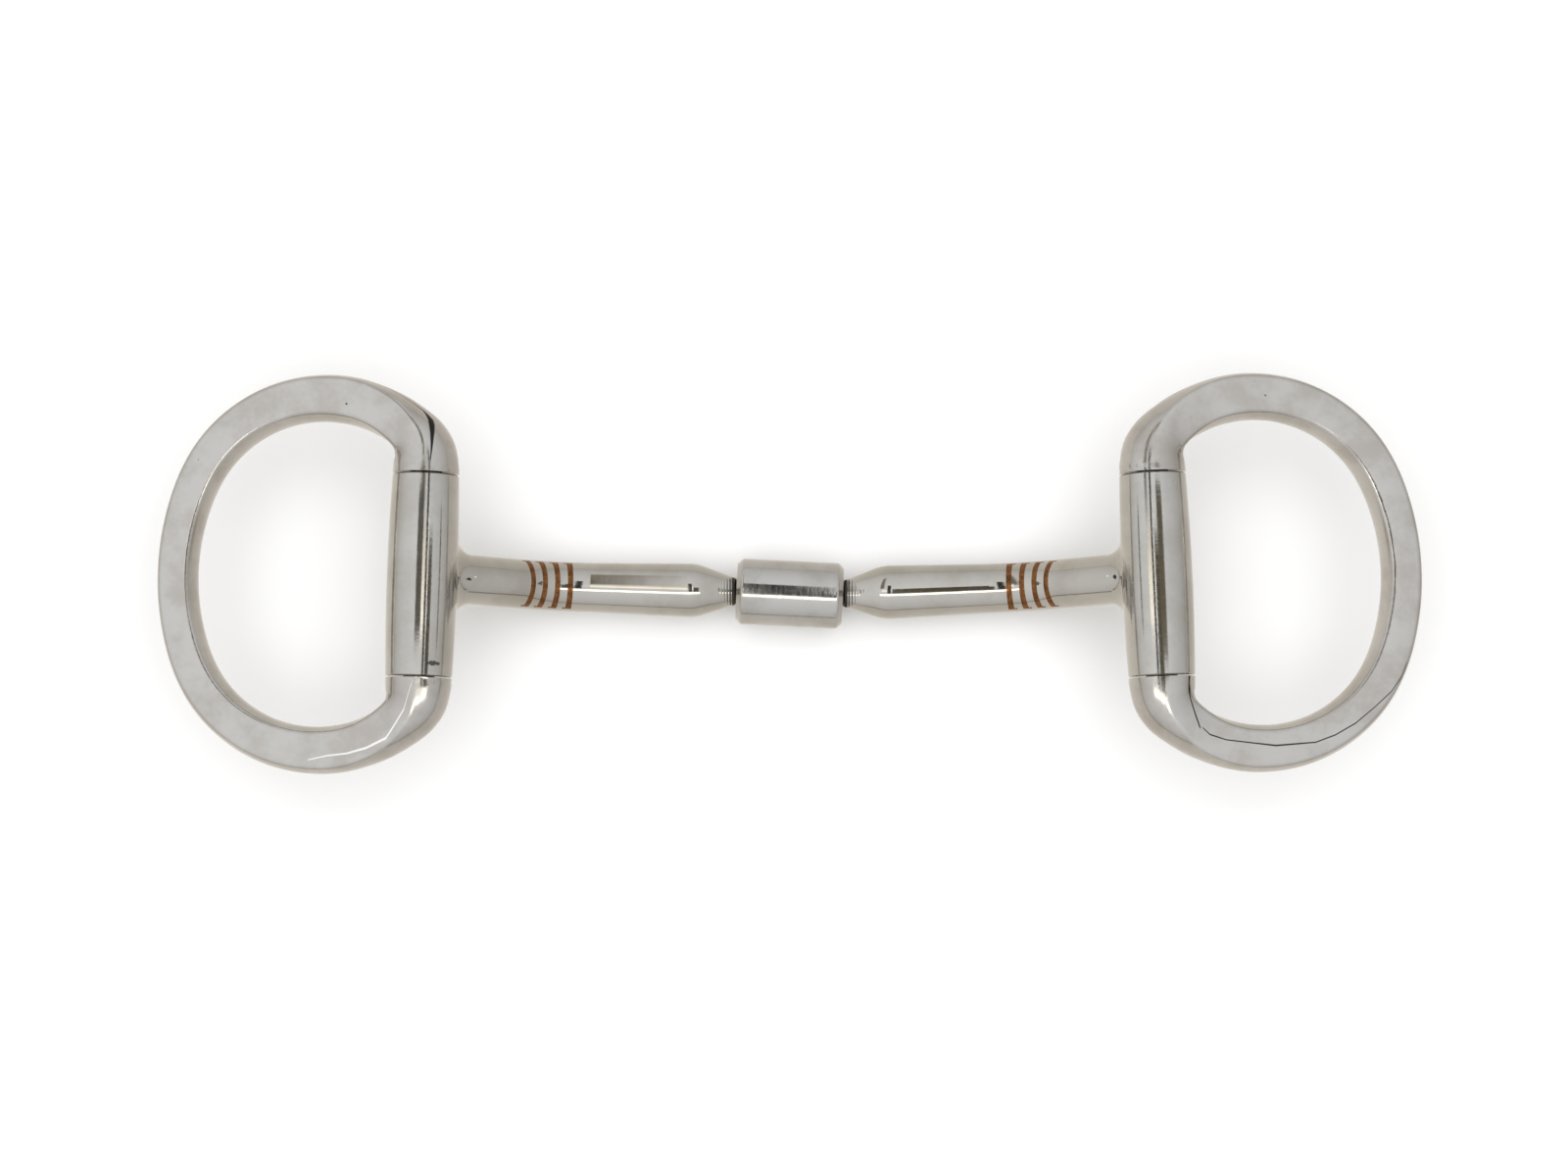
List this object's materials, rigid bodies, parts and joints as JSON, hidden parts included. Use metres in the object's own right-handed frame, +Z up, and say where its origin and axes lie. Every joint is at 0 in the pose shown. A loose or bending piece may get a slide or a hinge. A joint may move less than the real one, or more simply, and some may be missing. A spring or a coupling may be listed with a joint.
{
  "type": "snaffle bit",
  "caption": "Jointed horse snaffle with a central barrel, two upturned arms with inlaid copper strips, and D-shaped cheek rings that swivel in long sleeves.",
  "frame": {"origin": "on the table under the middle of the bit as it lies flat, the middle of its bounding box in X and Y", "axes": "+X along the mouthpiece towards the right-hand ring, +Y along the cheek sleeves, +Z up from the table; the cheeks stand higher than the barrel"},
  "size_m": [0.241, 0.0767, 0.0306],
  "materials": {
    "ring_steel": "polished stainless steel with fine handling smudges",
    "mouth_steel": "polished warm nickel-toned steel",
    "barrel_steel": "lightly worn polish with turned lines",
    "seat_steel": "machined",
    "pin_steel": "ground",
    "copper": "polished copper, slightly browned"
  },
  "bodies": {
    "barrel": {"barrel_sleeve": "barrel_steel", "left_end_bush": "seat_steel", "right_end_bush": "seat_steel"},
    "left_ball_seat": {"left_cup_washer": "seat_steel"},
    "left_mouth_arm": {"left_arm": "mouth_steel", "left_cheek_sleeve": "mouth_steel", "left_copper_band_1": "copper", "left_copper_band_2": "copper", "left_copper_band_3": "copper", "left_copper_band_4": "copper"},
    "left_cheek_ring": {"left_ring": "ring_steel", "left_hinge_pin": "pin_steel"},
    "right_ball_seat": {"right_cup_washer": "seat_steel"},
    "right_mouth_arm": {"right_arm": "mouth_steel", "right_cheek_sleeve": "mouth_steel", "right_copper_band_1": "copper", "right_copper_band_2": "copper", "right_copper_band_3": "copper", "right_copper_band_4": "copper"},
    "right_cheek_ring": {"right_ring": "ring_steel", "right_hinge_pin": "pin_steel"}
  },
  "joints": [
    {"name": "left_arm_spin", "type": "hinge", "parent": "barrel", "child": "left_ball_seat", "pos_m": [-0.00539, -0.00141, 0.0064], "axis": [0.9985, -0.0541, 0], "continuous": true},
    {"name": "left_arm_lean", "type": "hinge", "parent": "left_ball_seat", "child": "left_mouth_arm", "pos_m": [-0.00539, -0.00141, 0.0064], "axis": [0, 0, 1], "range_deg": [-8.2, 5.8]},
    {"name": "left_ring_swing", "type": "hinge", "parent": "left_mouth_arm", "child": "left_cheek_ring", "pos_m": [-0.06976, 0.00073, 0.0239], "axis": [0.0332, 0.9995, 0], "range_deg": [-137, 192]},
    {"name": "right_arm_spin", "type": "hinge", "parent": "barrel", "child": "right_ball_seat", "pos_m": [0.00539, -0.00199, 0.0064], "axis": [0.9985, -0.0541, 0], "continuous": true},
    {"name": "right_arm_lean", "type": "hinge", "parent": "right_ball_seat", "child": "right_mouth_arm", "pos_m": [0.00539, -0.00199, 0.0064], "axis": [0, 0, 1], "range_deg": [-12, 2]},
    {"name": "right_ring_swing", "type": "hinge", "parent": "right_mouth_arm", "child": "right_cheek_ring", "pos_m": [0.06976, 0.00014, 0.0239], "axis": [0.0332, -0.9995, 0], "range_deg": [-137, 192]}
  ]
}
